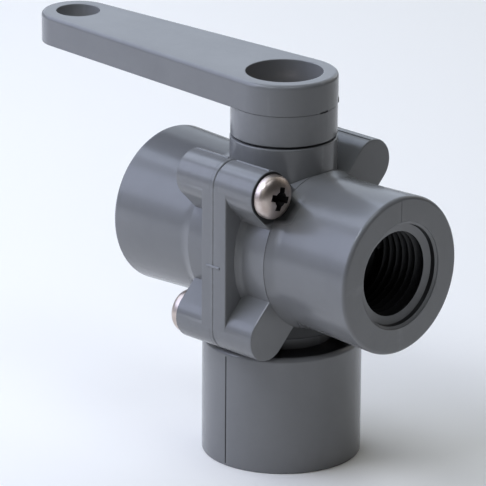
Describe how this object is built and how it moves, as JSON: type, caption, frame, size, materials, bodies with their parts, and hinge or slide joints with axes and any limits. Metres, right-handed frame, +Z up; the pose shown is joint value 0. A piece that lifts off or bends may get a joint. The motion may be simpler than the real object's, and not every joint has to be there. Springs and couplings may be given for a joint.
{
  "type": "three-way ball valve",
  "caption": "Three-way plastic ball valve with threaded ports in a T and a lever handle on its stem.",
  "frame": {"origin": "centre of the bottom port's face, which the valve stands on", "axes": "+Z up the stem, +X along the run out of the right port, -Y towards the seam edge that faces the viewer in the picture"},
  "size_m": [0.106, 0.0422, 0.0851],
  "materials": {
    "body_plastic": "satin grey moulded plastic",
    "seat_white": "smooth white seat plastic",
    "ring_rubber": "black rubber cord",
    "screw_steel": "plain stainless steel"
  },
  "bodies": {
    "valve_body": {"right_end": "body_plastic", "left_end": "body_plastic", "centre_body": "body_plastic", "right_seat": "seat_white", "left_seat": "seat_white", "bottom_seat": "seat_white", "right_seat_ring": "ring_rubber", "left_seat_ring": "ring_rubber", "bottom_seat_ring": "ring_rubber", "right_body_ring": "ring_rubber", "left_body_ring": "ring_rubber", "front_upper_screw": "screw_steel", "rear_lower_screw": "screw_steel", "front_lower_screw": "screw_steel", "rear_upper_screw": "screw_steel"},
    "handle_and_ball": {"handle": "body_plastic", "handle_screw": "screw_steel", "handle_washer": "screw_steel", "stem": "body_plastic", "stem_washer": "seat_white", "upper_stem_ring": "ring_rubber", "lower_stem_ring": "ring_rubber", "ball": "body_plastic"}
  },
  "joints": [
    {"name": "handle_turn", "type": "hinge", "parent": "valve_body", "child": "handle_and_ball", "pos_m": [0, 0, 0.0477], "axis": [0, 0, 1], "range_deg": [0, 180]}
  ]
}
